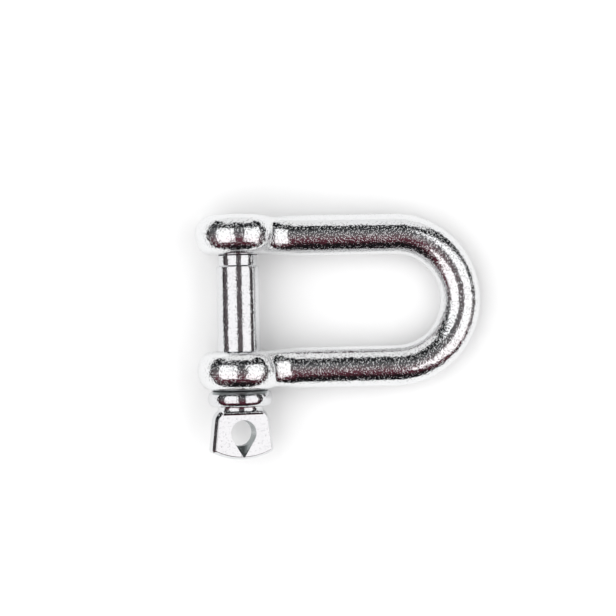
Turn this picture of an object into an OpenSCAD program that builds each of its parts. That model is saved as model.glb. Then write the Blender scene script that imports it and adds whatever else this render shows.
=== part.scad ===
// Screw-pin dee shackle for joining chain, lying on its side: two eyes and the crown touch the ground.
// The origin is on the pin's axis, midway between the eyes.
// +Y runs along the pin from its head to its thread, +X points to the bow, +Z is up.

/* [Bow] */
// Diameter of the round bar
bar_d = 5.7; // [4.5:0.1:7]
// Radius of the bow, to the middle of the bar
bow_r = 9.25; // [7.5:0.05:12]
// Distance from the pin's axis to the centre of the bow
reach = 22.1; // [16:0.1:30]

/* [Eyes] */
// Outside diameter of an eye
eye_d = 11.8; // [10.5:0.1:14]
// Thickness of an eye between its flat faces
eye_t = 5.5; // [4.5:0.1:6.5]
// How far the eyes' middles are set out from the legs' axes
eye_set = 0.2; // [0:0.05:0.6]
// Radius of the crowned rim, seen in section
rim_crown_r = 3.5; // [3:0.1:6]
// Radius between the rim and the flat faces
rim_edge_r = 1.9; // [0.8:0.1:2.1]
// Radius of the hollow where a leg sweeps up into its eye's rim
root_fillet_r = 4.2; // [2:0.1:5]
// Radius of the horns that a leg splits into, one above and one below
horn_r = 2.5; // [1.8:0.05:2.5]
// Depth to which the horns run out in the leg and in the rim
root_sink = 0.1; // [0.05:0.05:0.3]
// Radial clearance of the shank in the plain eye
shank_clearance = 0.2; // [0.1:0.05:0.4]
// Radial clearance of the thread in the tapped eye
thread_clearance = 0.1; // [0.05:0.05:0.3]

/* [Pin] */
// Diameter of the plain shank
shank_d = 6; // [5:0.1:6.6]
// Mean diameter of the thread
thread_d = 5.5; // [4.6:0.1:6]
// Length of the thin stretch that shows beside the tapped eye
relief_l = 1.5; // [0.5:0.1:3]
// Depth of the pin's end below the tapped eye's outer face
tip_recess = 0.3; // [0:0.1:1]
// Chamfer round the pin's end
tip_chamfer = 0.5; // [0.2:0.1:1]
// Diameter of the collar
collar_d = 9; // [8:0.1:11]
// Thickness of the collar
collar_t = 2.2; // [1.2:0.1:3]
// Radius of the collar's crowned rim, seen in section
collar_crown_r = 1.7; // [1.6:0.1:3]
// Radius between the collar's rim and its flat faces
collar_edge_r = 0.6; // [0.3:0.1:0.6]

/* [Head] */
// Least diameter of the hollow neck between collar and tab
neck_d = 6.3; // [5:0.1:7]
// Length of the neck
neck_l = 0.7; // [0.6:0.1:2]
// Depth of the neck's hollow
neck_hollow = 0.08; // [0.04:0.02:0.4]
// Length of the ramp from the neck's flat end down to the tab's faces
ramp_l = 0.5; // [0.3:0.05:1]
// Distance from the collar to the tab's shoulders, which start inside the neck
shoulder_drop = 0.3; // [0.1:0.1:0.5]
// Width of the tab across its shoulders
tab_root_w = 7.9; // [6.5:0.1:9]
// Width of the tab across its end corners
tab_end_w = 8.8; // [7:0.1:11]
// Length of the tab from its shoulders to its end corners
tab_l = 6; // [4.5:0.1:8]
// Bulge of the tab's end past its corners
tab_crown = 1.1; // [0.4:0.1:2]
// Thickness of the tab
tab_t = 2.8; // [2:0.1:4]
// Radius of the shoulders, seen on the flat
shoulder_r = 1.9; // [1:0.1:2.6]
// Radius of the end corners, seen on the flat
corner_r = 0.6; // [0.6:0.1:1.5]
// Width of the bevel along the tab's edges, seen on the flat
bevel_w = 0.3; // [0.1:0.05:0.5]
// Height of that bevel
bevel_h = 0.55; // [0.1:0.05:0.8]
// Diameter of the hole through the tab
hole_d = 3.7; // [2.5:0.1:4.5]
// Distance from the tab's shoulders to the middle of the hole
hole_drop = 3.45; // [2.5:0.05:4.5]
// Distance from the middle of the hole to the point of its drawn lip
lip_reach = 3.5; // [2.6:0.1:4]
// Depth of the lip as a share of its half width
lip_depth = 1.5; // [0.8:0.1:2]
// Turn of the tab about the pin's axis, in degrees
head_turn = 18; // [0:1:180]

/* [Hidden] */
$fn = 96;
hull_fn = 32;
zinc = [0.78, 0.79, 0.80];
zinc_pin = [0.74, 0.75, 0.77];

// Derived stations are whole microns, so that pieces of one forging meet face to face
function micron(length) = round(length * 1000) / 1000;

bar_r = bar_d / 2;
eye_r = eye_d / 2;
half_t = eye_t / 2;
half_span = bow_r + eye_set;
shank_r = shank_d / 2;
thread_r = thread_d / 2;

// Height of the pin's axis above the ground decides how far the body leans down to its crown
rest_tilt = asin((eye_r - bar_r) / (reach + bow_r));

// Radius at which a crowned disc's edge roundings have their middles, where its flat faces end
function flat_end(r, half_t, crown_r, edge_r) =
    micron(r - crown_r + sqrt(pow(crown_r - edge_r, 2) - pow(half_t - edge_r, 2)));

eye_flat_r = flat_end(eye_r, half_t, rim_crown_r, rim_edge_r);

// Middle of the root's hollow, whose circle dips a little into the leg's top line and the eye's rim
fillet_z = bar_r + root_fillet_r - root_sink;
fillet_x = micron(sqrt(pow(eye_r + root_fillet_r - root_sink, 2) - pow(fillet_z, 2)));
horn_sweep = atan2(fillet_x, fillet_z);

// Stations along the pin
collar_y = -half_span - half_t;
neck_y = collar_y - collar_t;
foot_y = neck_y - neck_l;
foot_r = neck_d / 2 + neck_hollow;
shoulder_y = neck_y - shoulder_drop;
hole_y = shoulder_y - hole_drop;
relief_y = half_span - half_t - relief_l;
tip_y = half_span + half_t - tip_recess;

// The tab's end is an arc through its two corners and its crown
end_half_w = tab_end_w / 2;
end_r = (pow(end_half_w, 2) + pow(tab_crown, 2)) / (2 * tab_crown);
end_y = shoulder_y - tab_l - tab_crown + end_r;
end_angle = asin((end_half_w - corner_r) / (end_r - corner_r));
end_steps = 4;

module along_y() {
    rotate([-90, 0, 0])
        children();
}

// Half section of a flat-faced disc with a crowned rim and round edges
module crowned_section(r, half_t, crown_r, edge_r) {
    crown_x = r - crown_r;
    edge_x = flat_end(r, half_t, crown_r, edge_r);
    edge_y = half_t - edge_r;
    sector = [edge_x - crown_x, edge_y] * 2 * crown_r / (crown_r - edge_r);
    translate([0, -half_t])
        square([edge_x, 2 * half_t]);
    for (side = [-1, 1])
        translate([edge_x, side * edge_y])
            circle(edge_r);
    intersection() {
        translate([crown_x, 0])
            circle(crown_r);
        polygon([[crown_x, 0], [crown_x + sector.x, sector.y], [crown_x + sector.x, -sector.y]]);
        translate([0, -half_t])
            square([2 * r, 2 * half_t]);
    }
}

module eye_blank() {
    along_y()
        rotate_extrude()
            crowned_section(eye_r, half_t, rim_crown_r, rim_edge_r);
}

// Bent horn of metal that sweeps from the leg up into the eye's crowned rim
module root_horn() {
    translate([fillet_x, 0, fillet_z])
        rotate([90, 0, 0])
            rotate([0, 0, -90 - horn_sweep])
                rotate_extrude(angle = horn_sweep)
                    translate([root_fillet_r + horn_r, 0])
                        circle(horn_r);
}

// Bar from the eye to the bow, thinned where it starts to lie flush with the eye's inner face
module leg() {
    rotate([0, 90, 0]) {
        translate([0, 0, eye_flat_r])
            cylinder(h = micron(fillet_x - eye_flat_r), r1 = half_t - eye_set, r2 = bar_r);
        translate([0, 0, fillet_x])
            cylinder(h = micron(reach - fillet_x), r = bar_r);
    }
    root_horn();
    mirror([0, 0, 1])
        root_horn();
}

module arm() {
    translate([0, half_span, 0])
        eye_blank();
    translate([0, bow_r, 0])
        leg();
}

module bow() {
    translate([reach, 0, 0])
        rotate([0, 0, -90])
            rotate_extrude(angle = 180)
                translate([bow_r, 0])
                    circle(bar_r);
}

module shackle_body() {
    color(zinc)
        rotate([0, rest_tilt, 0])
            difference() {
                union() {
                    bow();
                    arm();
                    mirror([0, 1, 0])
                        arm();
                }
                along_y() {
                    cylinder(h = 2 * half_span, r = thread_r + thread_clearance);
                    translate([0, 0, -2 * half_span])
                        cylinder(h = 2 * half_span, r = shank_r + shank_clearance);
                }
            }
}

// Hollow neck that flares to a flat-ended foot
module neck_section() {
    hollow_r = (pow(neck_l / 2, 2) + pow(neck_hollow, 2)) / (2 * neck_hollow);
    difference() {
        translate([0, foot_y])
            square([foot_r, neck_l]);
        translate([neck_d / 2 + hollow_r, foot_y + neck_l / 2])
            circle(hollow_r);
    }
}

// Half section of everything round on the pin: radius along x, pin axis along y
module pin_section() {
    neck_section();
    translate([0, neck_y + collar_t / 2])
        crowned_section(collar_d / 2, collar_t / 2, collar_crown_r, collar_edge_r);
    translate([0, collar_y])
        square([shank_r, relief_y - collar_y]);
    polygon([
        [0, relief_y],
        [thread_r, relief_y],
        [thread_r, tip_y - tip_chamfer],
        [thread_r - tip_chamfer, tip_y],
        [0, tip_y],
    ]);
}

// Round slab with bevelled edges, one corner of the tab
module tab_corner(r) {
    cylinder(h = tab_t - 2 * bevel_h, r = r, center = true, $fn = hull_fn);
    cylinder(h = tab_t, r = r - bevel_w, center = true, $fn = hull_fn);
}

module tab_blank() {
    hull() {
        for (side = [-1, 1])
            translate([side * (tab_root_w / 2 - shoulder_r), shoulder_y - shoulder_r, 0])
                tab_corner(shoulder_r);
        for (step = [-end_steps : end_steps])
            translate([0, end_y, 0])
                rotate([0, 0, step * end_angle / end_steps])
                    translate([0, corner_r - end_r, 0])
                        tab_corner(corner_r);
    }
}

// The hole's mouth is drawn out to a point towards the tab's end
module drawn_lip() {
    touch = acos(hole_d / 2 / lip_reach);
    chord_y = hole_d / 2 * cos(touch);
    chord_r = hole_d / 2 * sin(touch);
    translate([0, hole_y - chord_y, tab_t / 2])
        scale([1, 1, lip_depth])
            rotate([90, 0, 0])
                cylinder(h = lip_reach - chord_y, r1 = chord_r, r2 = 0);
}

// Ramps from the foot's flat end down to the tab's two faces, inside the round foot
module foot_ramp() {
    face_z = tab_t / 2 - 0.02;
    top_z = face_z + ramp_l;
    inside = 0.05;
    intersection() {
        rotate([90, 0, 90])
            linear_extrude(2 * foot_r, center = true)
                polygon([
                    [foot_y + inside, top_z],
                    [foot_y, top_z],
                    [foot_y - ramp_l, face_z],
                    [foot_y - ramp_l, -face_z],
                    [foot_y, -top_z],
                    [foot_y + inside, -top_z],
                ]);
        along_y()
            translate([0, 0, foot_y - 2 * ramp_l])
                cylinder(h = 3 * ramp_l, r = foot_r - inside);
    }
}

module tab() {
    rotate([0, head_turn, 0])
        difference() {
            tab_blank();
            translate([0, hole_y, -tab_t])
                cylinder(h = 2 * tab_t, d = hole_d);
            drawn_lip();
        }
    rotate([0, head_turn, 0])
        foot_ramp();
}

module screw_pin() {
    color(zinc_pin) {
        along_y()
            rotate_extrude()
                pin_section();
        tab();
    }
}

shackle_body();
screw_pin();
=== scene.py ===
"""Looks of a small zinc-plated screw-pin dee shackle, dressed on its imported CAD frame.

Pieces are modelled in millimetres, in the part's own frame, and brought to metres at the end.
"""

import math

import bpy
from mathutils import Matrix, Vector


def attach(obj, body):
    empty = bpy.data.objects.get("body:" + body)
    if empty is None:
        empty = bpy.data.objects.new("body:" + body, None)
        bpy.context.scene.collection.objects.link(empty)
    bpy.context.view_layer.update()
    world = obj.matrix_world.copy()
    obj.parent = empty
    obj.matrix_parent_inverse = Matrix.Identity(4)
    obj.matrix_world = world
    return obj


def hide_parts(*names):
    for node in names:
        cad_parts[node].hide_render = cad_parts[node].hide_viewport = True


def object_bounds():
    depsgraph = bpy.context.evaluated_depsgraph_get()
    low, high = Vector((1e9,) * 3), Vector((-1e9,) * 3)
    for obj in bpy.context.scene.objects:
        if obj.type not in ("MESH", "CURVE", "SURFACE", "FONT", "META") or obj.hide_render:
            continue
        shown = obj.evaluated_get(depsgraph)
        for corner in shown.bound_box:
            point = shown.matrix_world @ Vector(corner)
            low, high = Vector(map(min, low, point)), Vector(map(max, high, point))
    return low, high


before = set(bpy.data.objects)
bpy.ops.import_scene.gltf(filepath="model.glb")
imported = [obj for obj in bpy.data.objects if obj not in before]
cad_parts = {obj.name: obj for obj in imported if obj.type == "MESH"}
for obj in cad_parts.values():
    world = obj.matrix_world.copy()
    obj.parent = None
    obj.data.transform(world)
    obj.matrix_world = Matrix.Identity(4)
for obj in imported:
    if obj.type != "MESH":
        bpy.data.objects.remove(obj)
cad_low, cad_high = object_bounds()

MM = 0.001

# Forged body, in millimetres
BAR_R = 2.85
BOW_R = 9.25
REACH = 22.1
EYE_R = 5.9
EYE_HALF_T = 2.75
EYE_SET = 0.2
RIM_CROWN_R = 3.5
RIM_EDGE_R = 1.9
ROOT_FILLET_R = 5.6
ROOT_SLOPE = math.radians(33)
ROOT_SINK = 0.1
HORN_R = 2.5
HORN_FLATNESS = 0.62
PLAIN_BORE_R = 3.2
HALF_SPAN = BOW_R + EYE_SET
LEAN = math.asin((EYE_R - BAR_R) / (REACH + BOW_R))

# Thread, cut in the one eye and rolled on the pin's end
PITCH = 1.0
THREAD_ROOT_R = 2.42
THREAD_CREST_R = 2.93
TAP_ROOT_R = 2.52
TAP_CREST_R = 3.04
CREST_FLAT = 0.14
ROOT_FLAT = 0.06
RIB_SUNK = 0.25
THREAD_START_Y = 6.9
THREAD_RUN_IN = 0.1
RELIEF_RAMP = 0.25

# Screw pin, in millimetres
SHANK_R = 3.0
RELIEF_R = 2.75
RELIEF_Y = 5.2
BROKEN_EDGE = 0.2
COLLAR_R = 4.5
COLLAR_T = 2.2
COLLAR_CROWN_R = 1.7
COLLAR_EDGE_R = 0.6
COLLAR_Y = -HALF_SPAN - EYE_HALF_T
TIP_SET_BACK = 0.3
TIP_Y = HALF_SPAN + EYE_HALF_T - TIP_SET_BACK
TIP_CHAMFER = 0.5
THREAD_END_SET_BACK = 0.45
THREAD_END_Y = TIP_Y - THREAD_END_SET_BACK
NECK_R = 3.15
NECK_L = 0.7
NECK_HOLLOW = 0.08
FOOT_FILLET_R = 0.68
NECK_Y = COLLAR_Y - COLLAR_T
FOOT_Y = NECK_Y - NECK_L

# Flat tab on the pin's head, in millimetres and degrees
SHOULDER_SET_BACK = 0.3
SHOULDER_Y = NECK_Y - SHOULDER_SET_BACK
TAB_ROOT_W = 7.9
TAB_END_W = 8.8
TAB_L = 6.0
TAB_CROWN = 1.1
TAB_T = 2.8
SHOULDER_R = 1.9
CORNER_R = 0.6
EDGE_IN = 0.36
EDGE_DOWN = 0.55
EDGE_ROUND = 0.08
HOLE_R = 1.85
HOLE_FROM_SHOULDER = 3.45
HOLE_Y = SHOULDER_Y - HOLE_FROM_SHOULDER
HOLE_FLARE = 0.2
HOLE_FLARE_H = 0.15
LIP_REACH = 3.5
LIP_DEEPER = 1.5
HEAD_TURN = 18

# Fineness of the meshes, in steps round each curve and in millimetres
TURN_STEPS = 160
BAR_SIDES = 128
BOW_STEPS = 128
THREAD_STEPS = 72
HORN_STEPS = 32
TAB_END_STEPS = 24
CROWN_STEPS = 16
SHOULDER_STEPS = 14
FILLET_STEPS = 12
CORNER_STEPS = 10
EDGE_ROUND_STEPS = 3
BODY_GRAIN = 0.162
FORGING_PASSES = 14
WELD = 0.0005

# Angles in degrees past which an edge is rounded over or shaded sharp
TAB_ROUND_ANGLE = 40
BODY_SHARP_ANGLE = 35
PIN_SHARP_ANGLE = 25

# Painted shade in the tab's hole and at the collar's seat, where the plating is also rougher with
# deeper grain
RECESS_SHADE_GREY = (0.30, 0.335, 0.335)
RECESS_SHADE_SHARE = 0.85
RECESS_ROUGHER = 0.22
RECESS_GRAIN = 0.035
SEAT_DEPTH = 0.5
SEAT_HALF_W = 0.88 * COLLAR_R

# Stage, in metres, and the level of the plain light on its floor
FLOOR_SIZE = 1.4
CARD_Y = 0.42
CARD_W = 0.6
CARD_H = 0.33
LAMP_DISTANCE = 0.6
FLOOR_LIGHT = 0.3


def arc(centre, radius, start, end, steps):
    """Points on an arc in a plane, from one angle to another in degrees."""
    angles = [math.radians(start + (end - start) * i / steps) for i in range(steps + 1)]
    return [(centre[0] + radius * math.cos(a), centre[1] + radius * math.sin(a)) for a in angles]


def pick(*pieces):
    """Selects only these pieces, the first one active."""
    bpy.ops.object.select_all(action="DESELECT")
    for piece in pieces:
        piece.select_set(True)
    bpy.context.view_layer.objects.active = pieces[0]


def drawn_line(name, points):
    """An open line of edges, drawn by extruding one vertex from point to point; stays in edit mode."""
    bpy.ops.object.select_all(action="DESELECT")
    bpy.ops.mesh.primitive_plane_add(size=1)
    piece = bpy.context.object
    piece.name = name
    bpy.ops.object.mode_set(mode="EDIT")
    bpy.ops.mesh.select_all(action="SELECT")
    bpy.ops.mesh.merge(type="CENTER")
    bpy.ops.transform.translate(value=points[0])
    for here, there in zip(points, points[1:]):
        step = [b - a for a, b in zip(here, there)]
        bpy.ops.mesh.extrude_region_move(TRANSFORM_OT_translate={"value": step})
    bpy.ops.mesh.select_all(action="SELECT")
    return piece


def weld():
    """Merges doubles, turns all faces outwards and leaves edit mode."""
    bpy.ops.mesh.select_all(action="SELECT")
    bpy.ops.mesh.remove_doubles(threshold=WELD)
    bpy.ops.mesh.normals_make_consistent(inside=False)
    bpy.ops.object.mode_set(mode="OBJECT")


def turned(name, half_section):
    """A solid turned about the Y axis from pairs of radius and station."""
    piece = drawn_line(name, [(radius, along, 0) for radius, along in half_section])
    bpy.ops.mesh.spin(steps=TURN_STEPS, angle=math.tau, center=(0, 0, 0), axis=(0, 1, 0))
    weld()
    return piece


def place(piece, turn=(0, 0, 0), move=(0, 0, 0), size=(1, 1, 1)):
    """Sizes, turns and moves a piece, then puts its place into its mesh."""
    pick(piece)
    piece.rotation_euler = turn
    piece.location = move
    piece.scale = size
    bpy.ops.object.transform_apply(location=True, rotation=True, scale=True)
    return piece


def mirrored_copy(piece, name, flip=(1, -1, 1)):
    """A copy mirrored in a plane through the origin, by default the one midway between the eyes."""
    pick(piece)
    bpy.ops.object.duplicate()
    twin = bpy.context.object
    twin.name = name
    place(twin, size=flip)
    bpy.ops.object.mode_set(mode="EDIT")
    weld()
    return twin


def joined(name, pieces):
    """One object of several closed shells."""
    pick(*pieces)
    bpy.ops.object.join()
    piece = bpy.context.object
    piece.name = name
    return piece


def add_modifier(piece, kind, **settings):
    """Adds a modifier with its settings and applies it."""
    pick(piece)
    bpy.ops.object.modifier_add(type=kind)
    modifier = piece.modifiers[-1]
    for key, value in settings.items():
        setattr(modifier, key, value)
    bpy.ops.object.modifier_apply(modifier=modifier.name)


def cut(piece, tool):
    """Cuts a tool out of a piece and takes the tool away."""
    add_modifier(piece, "BOOLEAN", operation="DIFFERENCE", solver="EXACT", object=tool)
    bpy.data.objects.remove(tool)


def united(piece, *others):
    """Makes one closed solid of pieces that overlap, with their edges kept crisp."""
    for other in others:
        add_modifier(piece, "BOOLEAN", operation="UNION", solver="EXACT", object=other)
        bpy.data.objects.remove(other)
    return piece


def fused(piece, grain, passes):
    """Fuses the shells of a piece into one skin and softens its inner corners, as forging does."""
    add_modifier(piece, "REMESH", mode="VOXEL", voxel_size=grain)
    add_modifier(piece, "SMOOTH", factor=0.5, iterations=passes)


def to_metres(piece, sharp_angle):
    """Brings a finished piece to metres and shades it."""
    place(piece, size=(MM, MM, MM))
    bpy.ops.object.shade_smooth_by_angle(angle=math.radians(sharp_angle))
    return piece


def slab(name, outline, run):
    """A flat outline, filled and drawn out to a solid."""
    piece = drawn_line(name, outline)
    bpy.ops.mesh.edge_face_add()
    bpy.ops.mesh.select_all(action="SELECT")
    bpy.ops.mesh.extrude_region_move(TRANSFORM_OT_translate={"value": run})
    weld()
    return piece


def helix(name, root_r, crest_r, crest_flat, start, end):
    """A right-hand screw rib about the Y axis, from a thread section swept round."""
    half_foot = PITCH / 2 - ROOT_FLAT / 2
    foot_r = root_r - RIB_SUNK
    section = [
        (foot_r, -half_foot),
        (root_r, -half_foot),
        (crest_r, -crest_flat / 2),
        (crest_r, crest_flat / 2),
        (root_r, half_foot),
        (foot_r, half_foot),
    ]
    rib = drawn_line(name, [(radius, start + along, 0) for radius, along in section])
    bpy.ops.mesh.edge_face_add()
    bpy.ops.mesh.select_all(action="SELECT")
    bpy.ops.mesh.delete(type="ONLY_FACE")
    bpy.ops.object.mode_set(mode="OBJECT")
    turns = (end - start) / PITCH
    whole = math.ceil(turns)
    add_modifier(
        rib,
        "SCREW",
        axis="Y",
        angle=math.tau * turns / whole,
        screw_offset=PITCH * turns / whole,
        iterations=whole,
        steps=THREAD_STEPS,
        render_steps=THREAD_STEPS,
        use_merge_vertices=False,
    )
    bpy.ops.object.mode_set(mode="EDIT")
    bpy.ops.mesh.select_all(action="SELECT")
    bpy.ops.mesh.fill_holes(sides=0)
    weld()
    return rib


def crowned_rim(radius, half_t, crown_r, edge_r):
    """Half section of a crowned, round-edged rim from one flat face to the other, and the radius at
    which the flats end."""
    crown_x = radius - crown_r
    edge_y = half_t - edge_r
    reach = crown_r - edge_r
    flat_r = crown_x + math.sqrt(reach**2 - edge_y**2)
    meet = math.degrees(math.asin(edge_y / reach))
    rim = arc((flat_r, -edge_y), edge_r, -90, -meet, FILLET_STEPS)
    rim += arc((crown_x, 0), crown_r, -meet, meet, CROWN_STEPS)[1:-1]
    rim += arc((flat_r, edge_y), edge_r, meet, 90, FILLET_STEPS)
    return rim, flat_r


def eye_blank():
    """A round eye with flat faces and a crowned rim, before it is bored."""
    rim, flat_r = crowned_rim(EYE_R, EYE_HALF_T, RIM_CROWN_R, RIM_EDGE_R)
    return turned("eye", [(0, -EYE_HALF_T), *rim, (0, EYE_HALF_T)]), flat_r


def bar_end(name, radius, spot, flatness=1):
    """The round or flattened outline of a bar that runs along X; stays in edit mode."""
    bpy.ops.object.select_all(action="DESELECT")
    bpy.ops.mesh.primitive_circle_add(
        vertices=BAR_SIDES, radius=radius, location=spot, rotation=(0, math.pi / 2, 0)
    )
    piece = bpy.context.object
    piece.name = name
    piece.scale = (flatness, 1, 1)
    bpy.ops.object.transform_apply(location=True, rotation=True, scale=True)
    bpy.ops.object.mode_set(mode="EDIT")
    bpy.ops.mesh.select_all(action="SELECT")
    return piece


def leg_root(start_x):
    """The leg's first stretch, thinned to lie flush with the eye, and the two horns of metal that sweep
    up and down from it into the eye's rim."""
    fillet_z = BAR_R + ROOT_FILLET_R - ROOT_SINK
    ramp_top = fillet_z - ROOT_FILLET_R * math.cos(ROOT_SLOPE)
    fillet_x = math.sqrt(EYE_R**2 - ramp_top**2) + ROOT_FILLET_R * math.sin(ROOT_SLOPE)
    horn_middle = fillet_z - ROOT_FILLET_R - HORN_R * HORN_FLATNESS
    horn = bar_end("root_horn", HORN_R, (fillet_x, 0, horn_middle), HORN_FLATNESS)
    fillet_middle = (fillet_x, 0, fillet_z)
    bpy.ops.mesh.spin(steps=HORN_STEPS, angle=ROOT_SLOPE, center=fillet_middle, axis=(0, -1, 0))
    into_eye = (-math.cos(ROOT_SLOPE), 0, math.sin(ROOT_SLOPE))
    bpy.ops.mesh.extrude_region_move(TRANSFORM_OT_translate={"value": into_eye})
    bpy.ops.mesh.select_all(action="SELECT")
    bpy.ops.mesh.fill_holes(sides=0)
    weld()
    low_horn = mirrored_copy(horn, "low_root_horn", (1, 1, -1))
    taper = turned(
        "root_taper",
        [(0, start_x), (EYE_HALF_T - EYE_SET, start_x), (BAR_R, fillet_x), (0, fillet_x)],
    )
    place(taper, turn=(0, 0, -math.pi / 2))
    root = joined("leg_root", [horn, low_horn, taper])
    return place(root, move=(0, BOW_R, 0)), fillet_x


def bent_bar(start_x):
    """Round bar from one leg's root round the bow to the other's."""
    bar = bar_end("bar", BAR_R, (start_x, BOW_R, 0))
    run = REACH - start_x
    bpy.ops.mesh.extrude_region_move(TRANSFORM_OT_translate={"value": (run, 0, 0)})
    bpy.ops.mesh.spin(steps=BOW_STEPS, angle=math.pi, center=(REACH, 0, 0), axis=(0, 0, 1))
    bpy.ops.mesh.extrude_region_move(TRANSFORM_OT_translate={"value": (-run, 0, 0)})
    bpy.ops.mesh.select_all(action="SELECT")
    bpy.ops.mesh.fill_holes(sides=0)
    weld()
    return bar


def bore_tools():
    """Tools for the plain bore and the tapped bore, each with its mouths broken."""
    mouth, past = 0.22, 0.4
    tap_run_in, tap_run_out = 2, 1
    inner, outer = HALF_SPAN - EYE_HALF_T, HALF_SPAN + EYE_HALF_T

    def drill(name, radius, low, high):
        section = [(0, low - past), (radius + mouth + past, low - past), (radius, low + mouth)]
        section += [(radius, high - mouth), (radius + mouth + past, high + past), (0, high + past)]
        return turned(name, section)

    plain = drill("plain_drill", PLAIN_BORE_R, -outer, -inner)
    tapped = drill("tap_drill", TAP_ROOT_R, inner, outer)
    start, end = THREAD_START_Y - tap_run_in, outer + tap_run_out
    tap = helix("tap_rib", TAP_ROOT_R, TAP_CREST_R, CREST_FLAT * 2, start, end)
    return plain, tapped, tap


def forged_body():
    """The bow, its legs and eyes, fused, bored, and leaning down to its crown."""
    eye, flat_r = eye_blank()
    place(eye, move=(0, HALF_SPAN, 0))
    root, root_end = leg_root(flat_r)
    bar = bent_bar(root_end)
    eye_twin = mirrored_copy(eye, "eye_twin")
    root_twin = mirrored_copy(root, "leg_root_twin")
    body = joined("forged_body", [bar, eye, eye_twin, root, root_twin])
    fused(body, BODY_GRAIN, FORGING_PASSES)
    for tool in bore_tools():
        cut(body, tool)
    place(body, turn=(0, LEAN, 0))
    return to_metres(body, BODY_SHARP_ANGLE)


def pin_blank():
    """Everything round on the pin: threaded end's core, relief, shank, collar and hollow neck."""
    collar_rim = crowned_rim(COLLAR_R, COLLAR_T / 2, COLLAR_CROWN_R, COLLAR_EDGE_R)[0]
    collar_middle = COLLAR_Y - COLLAR_T / 2
    hollow_r = ((NECK_L / 2) ** 2 + NECK_HOLLOW**2) / (2 * NECK_HOLLOW)
    sweep = math.degrees(math.asin(NECK_L / 2 / hollow_r))
    section = [
        (0, TIP_Y),
        (THREAD_ROOT_R - TIP_CHAMFER / 2, TIP_Y),
        (THREAD_ROOT_R, TIP_Y - TIP_CHAMFER / 2),
        (THREAD_ROOT_R, THREAD_START_Y - THREAD_RUN_IN),
        (RELIEF_R, THREAD_START_Y - THREAD_RUN_IN - RELIEF_RAMP),
        (RELIEF_R, RELIEF_Y),
        (SHANK_R - BROKEN_EDGE, RELIEF_Y),
        (SHANK_R, RELIEF_Y - BROKEN_EDGE),
        (SHANK_R, COLLAR_Y),
    ]
    section += [(radius, collar_middle + along) for radius, along in reversed(collar_rim)]
    hollow_middle = (NECK_R + hollow_r, NECK_Y - NECK_L / 2)
    section += arc(hollow_middle, hollow_r, 180 - sweep, 180 + sweep, FILLET_STEPS)
    section += [(0, FOOT_Y)]
    return turned("pin_blank", section)


def tab_outline():
    """Outline of the flat tab: round shoulders, flared sides, and a bulged end between two corners."""
    half_end = TAB_END_W / 2
    end_r = (half_end**2 + TAB_CROWN**2) / (2 * TAB_CROWN)
    end_y = SHOULDER_Y - TAB_L - TAB_CROWN + end_r
    swing = math.asin((half_end - CORNER_R) / (end_r - CORNER_R))
    shoulder = (TAB_ROOT_W / 2 - SHOULDER_R, SHOULDER_Y - SHOULDER_R)
    reach = end_r - CORNER_R
    corner = (reach * math.sin(swing), end_y - reach * math.cos(swing))
    run = (corner[0] - shoulder[0], corner[1] - shoulder[1])
    side = math.atan2(run[1], run[0]) + math.acos((SHOULDER_R - CORNER_R) / math.hypot(*run))
    side, swing = math.degrees(side), math.degrees(swing)
    right = arc(shoulder, SHOULDER_R, 90, side, SHOULDER_STEPS)
    right += arc(corner, CORNER_R, side, swing - 90, CORNER_STEPS)
    end = arc((0, end_y), end_r, swing - 90, -90 - swing, TAB_END_STEPS)[1:-1]
    return right + end + [(-x, y) for x, y in reversed(right)]


def bevelled_faces(piece, inward, outward):
    """Raises both broad faces of a slab that lies level, each on a sloping edge."""
    nearly_level = 0.9
    pick(piece)
    bpy.ops.object.mode_set(mode="EDIT")
    bpy.ops.mesh.select_mode(type="FACE")
    bpy.ops.mesh.select_all(action="DESELECT")
    bpy.ops.object.mode_set(mode="OBJECT")
    for face in piece.data.polygons:
        face.select = abs(face.normal.z) > nearly_level
    bpy.ops.object.mode_set(mode="EDIT")
    bpy.ops.mesh.inset(thickness=inward, depth=outward)
    bpy.ops.mesh.select_mode(type="VERT")
    weld()


def foot_fillet():
    """Fillet between the flat end of the neck's foot and both faces of the tab, inside the foot's
    outline."""
    sunk, behind = 0.02, 0.2
    clear_low, clear_high = 2, 1
    top_z = TAB_T / 2 - sunk
    corner = (FOOT_Y - FOOT_FILLET_R, top_z + FOOT_FILLET_R)
    curve = arc(corner, FOOT_FILLET_R, 0, -90, FILLET_STEPS)
    half = [(FOOT_Y + behind, corner[1])] + curve
    profile = half + [(y, -z) for y, z in reversed(half)]
    block = slab("foot_fillet", [(-NECK_R, y, z) for y, z in profile], (2 * NECK_R, 0, 0))
    foot_r = NECK_R + NECK_HOLLOW - sunk
    low, high = FOOT_Y - clear_low, FOOT_Y + clear_high
    foot = turned("foot_outline", [(0, low), (foot_r, low), (foot_r, high), (0, high)])
    add_modifier(block, "BOOLEAN", operation="INTERSECT", solver="EXACT", object=foot)
    bpy.data.objects.remove(foot)
    return block


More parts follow.
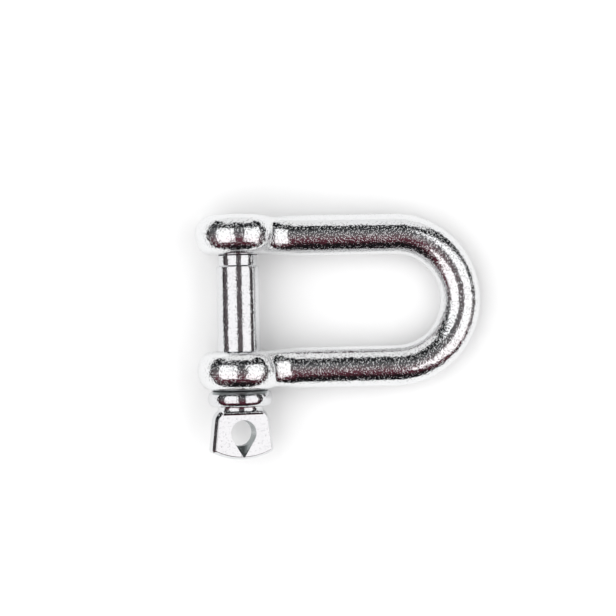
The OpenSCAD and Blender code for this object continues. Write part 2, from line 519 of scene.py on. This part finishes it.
def holed_tab():
    """Flat tab with bevelled edges, a hole, and the hole's mouth drawn out to a point."""
    past = 0.05
    wall = TAB_T - 2 * EDGE_DOWN
    tab = slab("tab", [(x, y, -wall / 2) for x, y in tab_outline()], (0, 0, wall))
    bevelled_faces(tab, EDGE_IN, EDGE_DOWN)
    add_modifier(
        tab,
        "BEVEL",
        width=EDGE_ROUND,
        segments=EDGE_ROUND_STEPS,
        limit_method="ANGLE",
        angle_limit=math.radians(TAB_ROUND_ANGLE),
    )
    hole_drill = turned(
        "hole_drill",
        [
            (0, -TAB_T),
            (HOLE_R + 1.5 * HOLE_FLARE, -TAB_T),
            (HOLE_R + HOLE_FLARE, -TAB_T / 2 - past),
            (HOLE_R, -TAB_T / 2 + HOLE_FLARE_H),
            (HOLE_R, TAB_T),
            (0, TAB_T),
        ],
    )
    place(hole_drill, turn=(math.pi / 2, 0, 0), move=(0, HOLE_Y, 0))
    cut(tab, hole_drill)
    touch = math.acos(HOLE_R / LIP_REACH)
    chord_y, chord_r = HOLE_R * math.cos(touch), HOLE_R * math.sin(touch)
    lip_tool = turned("lip_tool", [(0, 0), (chord_r, 0), (0, chord_y - LIP_REACH)])
    place(lip_tool, size=(1, 1, LIP_DEEPER), move=(0, HOLE_Y - chord_y, TAB_T / 2))
    cut(tab, lip_tool)
    united(tab, foot_fillet())
    return place(tab, turn=(0, math.radians(HEAD_TURN), 0))


def screw_pin():
    """The pin with its rolled thread and its tab, all one piece."""
    blank = pin_blank()
    tab = holed_tab()
    rib = helix("pin_rib", THREAD_ROOT_R, THREAD_CREST_R, CREST_FLAT, THREAD_START_Y, THREAD_END_Y)
    pin = united(blank, tab, rib)
    pin.name = "threaded_pin"
    pick(pin)
    bpy.ops.object.mode_set(mode="EDIT")
    weld()
    to_metres(pin, PIN_SHARP_ANGLE)
    add_modifier(pin, "WEIGHTED_NORMAL", keep_sharp=True)
    return pin


def math_node(tree, operation, first, second):
    """The output of a Math node on two other outputs."""
    node = tree.nodes.new("ShaderNodeMath")
    node.operation = operation
    tree.links.new(first, node.inputs[0])
    tree.links.new(second, node.inputs[1])
    return node.outputs[0]


def zinc_skin_group():
    """Shader group for plated zinc on a forging: speckled grain on a wavy skin, cloudy colour and
    uneven gloss."""
    group = bpy.data.node_groups.new("zinc_skin", "ShaderNodeTree")
    face = group.interface
    for name in ("Grain Size", "Grain Depth", "Wave Size", "Wave Depth", "Gloss", "Gloss Spread"):
        face.new_socket(name=name, in_out="INPUT", socket_type="NodeSocketFloat")
    face.new_socket(name="Bright", in_out="INPUT", socket_type="NodeSocketColor")
    face.new_socket(name="Dull", in_out="INPUT", socket_type="NodeSocketColor")
    face.new_socket(name="Color", in_out="OUTPUT", socket_type="NodeSocketColor")
    face.new_socket(name="Roughness", in_out="OUTPUT", socket_type="NodeSocketFloat")
    face.new_socket(name="Height", in_out="OUTPUT", socket_type="NodeSocketFloat")
    nodes, links = group.nodes, group.links
    given = nodes.new("NodeGroupInput")
    made = nodes.new("NodeGroupOutput")
    where = nodes.new("ShaderNodeTexCoord")

    def noise(size, detail):
        node = nodes.new("ShaderNodeTexNoise")
        node.inputs["Detail"].default_value = detail
        node.inputs["Roughness"].default_value = 0.55
        links.new(where.outputs["Object"], node.inputs["Vector"])
        if isinstance(size, float):
            node.inputs["Scale"].default_value = size
        else:
            links.new(size, node.inputs["Scale"])
        return node.outputs["Fac"]

    def product_and_sum(first, second, third):
        node = nodes.new("ShaderNodeMath")
        node.operation = "MULTIPLY_ADD"
        for socket, value in zip(node.inputs, (first, second, third)):
            if isinstance(value, float):
                socket.default_value = value
            else:
                links.new(value, socket)
        return node.outputs[0]

    def step_up(value, low, high):
        node = nodes.new("ShaderNodeMapRange")
        node.interpolation_type = "SMOOTHSTEP"
        node.inputs["From Min"].default_value = low
        node.inputs["From Max"].default_value = high
        links.new(value, node.inputs["Value"])
        return node.outputs["Result"]

    cloud_size, cloud_detail = 420.0, 4.0
    grain_share, cloud_share = 0.45, 0.55
    grain = step_up(noise(given.outputs["Grain Size"], 1.0), 0.5, 0.7)
    wave = noise(given.outputs["Wave Size"], 1.0)
    cloud = noise(cloud_size, cloud_detail)
    waves = product_and_sum(wave, given.outputs["Wave Depth"], 0.0)
    height = product_and_sum(grain, given.outputs["Grain Depth"], waves)
    links.new(height, made.inputs["Height"])
    colour = nodes.new("ShaderNodeMix")
    colour.data_type = "RGBA"
    tone = product_and_sum(grain, grain_share, product_and_sum(cloud, cloud_share, 0.0))
    links.new(tone, colour.inputs["Factor"])
    links.new(given.outputs["Bright"], colour.inputs["A"])
    links.new(given.outputs["Dull"], colour.inputs["B"])
    links.new(colour.outputs["Result"], made.inputs["Color"])
    gloss = product_and_sum(cloud, given.outputs["Gloss Spread"], given.outputs["Gloss"])
    links.new(gloss, made.inputs["Roughness"])
    return group


def zinc_plate(name, group, bright, dull, values):
    """Zinc plate with its own grain, colour and gloss; depths are in millimetres."""
    material = bpy.data.materials.new(name)
    material.use_nodes = True
    nodes, links = material.node_tree.nodes, material.node_tree.links
    shader = nodes["Principled BSDF"]
    shader.inputs["Metallic"].default_value = 1.0
    skin = nodes.new("ShaderNodeGroup")
    skin.name = "zinc_skin"
    skin.node_tree = group
    for key, value in values.items():
        skin.inputs[key].default_value = value
    skin.inputs["Bright"].default_value = (*bright, 1)
    skin.inputs["Dull"].default_value = (*dull, 1)
    bump = nodes.new("ShaderNodeBump")
    bump.inputs["Strength"].default_value = 1.0
    bump.inputs["Distance"].default_value = MM
    links.new(skin.outputs["Height"], bump.inputs["Height"])
    links.new(skin.outputs["Color"], shader.inputs["Base Color"])
    links.new(skin.outputs["Roughness"], shader.inputs["Roughness"])
    links.new(bump.outputs["Normal"], shader.inputs["Normal"])
    return material


def shade_and_roughen_recess(material):
    """Makes the tab's hole, its drawn lip and the collar's seat darker, as painted shade, and rougher
    with deeper grain."""
    tree = material.node_tree
    nodes, links = tree.nodes, tree.links
    shader = nodes["Principled BSDF"]
    skin = nodes["zinc_skin"]
    where = nodes.new("ShaderNodeTexCoord")

    def box_reach(low_y, high_y, half_w, half_h, turn):
        """Distance from the middle of a box round the pin's axis, 1 at its walls."""
        box = nodes.new("ShaderNodeMapping")
        box.vector_type = "TEXTURE"
        box.inputs["Location"].default_value = (0, MM * (low_y + high_y) / 2, 0)
        box.inputs["Rotation"].default_value = (0, math.radians(turn), 0)
        box.inputs["Scale"].default_value = (MM * half_w, MM * (high_y - low_y) / 2, MM * half_h)
        links.new(where.outputs["Object"], box.inputs["Vector"])
        spread = nodes.new("ShaderNodeVectorMath")
        spread.operation = "ABSOLUTE"
        links.new(box.outputs["Vector"], spread.inputs[0])
        split = nodes.new("ShaderNodeSeparateXYZ")
        links.new(spread.outputs["Vector"], split.inputs["Vector"])
        widest = math_node(tree, "MAXIMUM", split.outputs["X"], split.outputs["Y"])
        return math_node(tree, "MAXIMUM", widest, split.outputs["Z"])

    margin, point_left, under_face, past_seat = 0.12, 0.2, 0.03, 0.02
    hole = box_reach(
        HOLE_Y - LIP_REACH + point_left,
        HOLE_Y + HOLE_R + margin,
        HOLE_R + margin,
        TAB_T / 2 - under_face,
        HEAD_TURN,
    )
    seat = box_reach(COLLAR_Y - SEAT_DEPTH, COLLAR_Y + past_seat, SEAT_HALF_W, 2 * COLLAR_R, 0)
    farthest = math_node(tree, "MINIMUM", hole, seat)

    def faded(inside, outside):
        """One value inside the boxes and another outside, with a soft step at their walls."""
        node = nodes.new("ShaderNodeMapRange")
        node.interpolation_type = "SMOOTHSTEP"
        node.inputs["From Min"].default_value = 0.9
        node.inputs["From Max"].default_value = 1.0
        node.inputs["To Min"].default_value = inside
        node.inputs["To Max"].default_value = outside
        links.new(farthest, node.inputs["Value"])
        return node.outputs["Result"]

    # Painted shade: inside the hole, lip and seat boxes the colour is darkened towards the recess grey.
    painted_shade = nodes.new("ShaderNodeMix")
    painted_shade.data_type = "RGBA"
    links.new(faded(RECESS_SHADE_SHARE, 0.0), painted_shade.inputs["Factor"])
    links.new(skin.outputs["Color"], painted_shade.inputs["A"])
    painted_shade.inputs["B"].default_value = (*RECESS_SHADE_GREY, 1)
    links.new(painted_shade.outputs["Result"], shader.inputs["Base Color"])
    duller = math_node(tree, "ADD", skin.outputs["Roughness"], faded(RECESS_ROUGHER, 0.0))
    links.new(duller, shader.inputs["Roughness"])
    grain_depth = skin.inputs["Grain Depth"]
    links.new(faded(RECESS_GRAIN, grain_depth.default_value), grain_depth)


def dress(piece, material, body, node):
    """Gives a piece its finish and hangs it on its CAD body in place of its CAD node."""
    piece.data.materials.clear()
    piece.data.materials.append(material)
    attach(piece, body)
    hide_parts(node)


def white_paper():
    """Matt white paper."""
    paper = bpy.data.materials.new("white_paper")
    paper.use_nodes = True
    shader = paper.node_tree.nodes["Principled BSDF"]
    shader.inputs["Base Color"].default_value = (0.9, 0.9, 0.9, 1)
    shader.inputs["Roughness"].default_value = 1.0
    shader.inputs["Specular IOR Level"].default_value = 0.0
    return paper


def paper_sheet(name, paper, width, start, end):
    """A flat sheet of paper, drawn from one edge's middle to the other's."""
    sheet = drawn_line(name, [start, end])
    bpy.ops.transform.translate(value=(-width / 2, 0, 0))
    bpy.ops.mesh.extrude_region_move(TRANSFORM_OT_translate={"value": (width, 0, 0)})
    bpy.ops.mesh.select_all(action="SELECT")
    bpy.ops.mesh.normals_make_consistent(inside=False)
    bpy.ops.object.mode_set(mode="OBJECT")
    sheet.data.materials.append(paper)
    return sheet


def studio_floor(low_z):
    """A wide white floor, and a white card behind the shackle that shows only in the metal."""
    paper = white_paper()
    paper_sheet("floor", paper, FLOOR_SIZE, (0, -FLOOR_SIZE / 2, low_z), (0, FLOOR_SIZE / 2, low_z))
    card = paper_sheet("back_card", paper, CARD_W, (0, CARD_Y, low_z), (0, CARD_Y, low_z + CARD_H))
    card.visible_camera = False
    card.visible_diffuse = False
    card.visible_shadow = False


def area_lamp(name, shape, spot):
    """A soft lamp at a spot, facing the shackle and unseen by the camera."""
    bpy.ops.object.select_all(action="DESELECT")
    bpy.ops.object.light_add(type="AREA", location=spot)
    lamp = bpy.context.object
    lamp.name = name
    lamp.data.shape = shape
    tilt = -math.atan2(spot[1], spot[2])
    swing = math.atan2(spot[0], math.hypot(spot[1], spot[2]))
    lamp.rotation_euler = (tilt, swing, 0)
    lamp.visible_camera = False
    return lamp


def softbox(name, lean_x, lean_y, width, depth, glow):
    """A soft rectangular lamp over the shackle, its lean from straight up and its spread in degrees."""
    x, y = math.tan(math.radians(lean_x)), math.tan(math.radians(lean_y))
    length = math.sqrt(x * x + y * y + 1)
    lamp = area_lamp(name, "RECTANGLE", [LAMP_DISTANCE * v / length for v in (x, y, 1)])
    lamp.data.size = 2 * LAMP_DISTANCE * math.tan(math.radians(width / 2))
    lamp.data.size_y = 2 * LAMP_DISTANCE * math.tan(math.radians(depth / 2))
    lamp.data.energy = glow * math.pi * lamp.data.size * lamp.data.size_y


def overhead_fill(glow, size, spot):
    """A wide soft lamp that lights the floor from overhead and doesn't show in the metal."""
    lamp = area_lamp("overhead_fill", "DISK", spot)
    lamp.data.size = size
    lamp.data.energy = glow * math.pi * math.pi * (size / 2) ** 2
    lamp.visible_glossy = False


def dim_room():
    """World round the lamps: white to the camera and, round the horizon, to the metal; plain grey
    light for the floor; and above the horizon, to the metal, a dim room that is greyer overhead, dark
    red-brown towards the front and black low down."""
    world = bpy.data.worlds.new("dim_room")
    bpy.context.scene.world = world
    world.use_nodes = True
    tree = world.node_tree
    nodes, links = tree.nodes, tree.links
    where = nodes.new("ShaderNodeTexCoord")
    split = nodes.new("ShaderNodeSeparateXYZ")
    links.new(where.outputs["Generated"], split.inputs["Vector"])
    front_to_back = nodes.new("ShaderNodeMapRange")
    front_to_back.inputs["From Min"].default_value = -1
    front_to_back.inputs["From Max"].default_value = 1
    links.new(split.outputs["Y"], front_to_back.inputs["Value"])
    ramp = nodes.new("ShaderNodeValToRGB")
    links.new(front_to_back.outputs["Result"], ramp.inputs["Fac"])
    stops = [
        (0.0, (0.01, 0.01, 0.011)),
        (0.09, (0.01, 0.01, 0.011)),
        (0.16, (0.09, 0.022, 0.034)),
        (0.30, (0.13, 0.045, 0.062)),
        (0.42, (0.15, 0.115, 0.122)),
        (0.60, (0.11, 0.11, 0.115)),
        (0.74, (0.025, 0.026, 0.028)),
        (1.0, (0.012, 0.012, 0.013)),
    ]
    band = ramp.color_ramp.elements
    while len(band) < len(stops):
        band.new(0.5)
    for element, (spot, colour) in zip(band, stops):
        element.position = spot
        element.color = (*colour, 1)
    upwards = nodes.new("ShaderNodeMapRange")
    upwards.interpolation_type = "SMOOTHSTEP"
    upwards.inputs["From Max"].default_value = 0.4
    upwards.inputs["To Min"].default_value = 0.15
    links.new(split.outputs["Z"], upwards.inputs["Value"])
    low_dark = nodes.new("ShaderNodeMix")
    low_dark.data_type = "RGBA"
    low_dark.blend_type = "MULTIPLY"
    low_dark.inputs["Factor"].default_value = 1
    links.new(ramp.outputs["Color"], low_dark.inputs["A"])
    links.new(upwards.outputs["Result"], low_dark.inputs["B"])
    path = nodes.new("ShaderNodeLightPath")
    horizon = nodes.new("ShaderNodeMapRange")
    horizon.inputs["From Min"].default_value = 0.01
    horizon.inputs["From Max"].default_value = 0.03
    horizon.inputs["To Min"].default_value = 1
    horizon.inputs["To Max"].default_value = 0
    links.new(split.outputs["Z"], horizon.inputs["Value"])
    in_metal = math_node(tree, "MULTIPLY", path.outputs["Is Glossy Ray"], horizon.outputs["Result"])
    backdrop = math_node(tree, "MAXIMUM", path.outputs["Is Camera Ray"], in_metal)
    shown = low_dark.outputs["Result"]
    for share, level in ((path.outputs["Is Diffuse Ray"], FLOOR_LIGHT), (backdrop, 1.0)):
        seen = nodes.new("ShaderNodeMix")
        seen.data_type = "RGBA"
        links.new(share, seen.inputs["Factor"])
        links.new(shown, seen.inputs["A"])
        seen.inputs["B"].default_value = (level, level, level, 1)
        shown = seen.outputs["Result"]
    links.new(shown, nodes["Background"].inputs["Color"])


body_piece = forged_body()
pin_piece = screw_pin()

zinc_skin = zinc_skin_group()
body_zinc = zinc_plate(
    "body_zinc",
    zinc_skin,
    bright=(0.84, 0.845, 0.85),
    dull=(0.73, 0.735, 0.745),
    values={
        "Grain Size": 3900.0,
        "Grain Depth": 0.0145,
        "Wave Size": 1500.0,
        "Wave Depth": 0.03,
        "Gloss": 0.05,
        "Gloss Spread": 0.08,
    },
)
pin_zinc = zinc_plate(
    "pin_zinc",
    zinc_skin,
    bright=(0.75, 0.755, 0.765),
    dull=(0.63, 0.635, 0.65),
    values={
        "Grain Size": 3600.0,
        "Grain Depth": 0.007,
        "Wave Size": 900.0,
        "Wave Depth": 0.02,
        "Gloss": 0.04,
        "Gloss Spread": 0.07,
    },
)
# Painted shade in the tab's hole, its lip and the collar's seat, which are also made rougher.
shade_and_roughen_recess(pin_zinc)
dress(body_piece, body_zinc, "shackle", "shackle_body")
dress(pin_piece, pin_zinc, "pin", "screw_pin")

studio_floor(cad_low.z)
softbox("left_softbox", lean_x=-31, lean_y=-5, width=50, depth=62, glow=1.16)
softbox("right_softbox", lean_x=45, lean_y=-5, width=46, depth=62, glow=1.16)
overhead_fill(glow=0.78, size=2.6, spot=(-0.22, -0.12, 0.8))
dim_room()

camera_data = bpy.data.cameras.new("camera")
camera = bpy.data.objects.new("camera", camera_data)
bpy.context.scene.collection.objects.link(camera)
camera.location = (0.0097, -0.00093, 0.270)
camera.rotation_euler = (0, 0, math.radians(-1.2))
camera_data.sensor_width = 36
camera_data.lens = 113.1
bpy.context.scene.camera = camera

bpy.context.scene.view_settings.view_transform = "Standard"
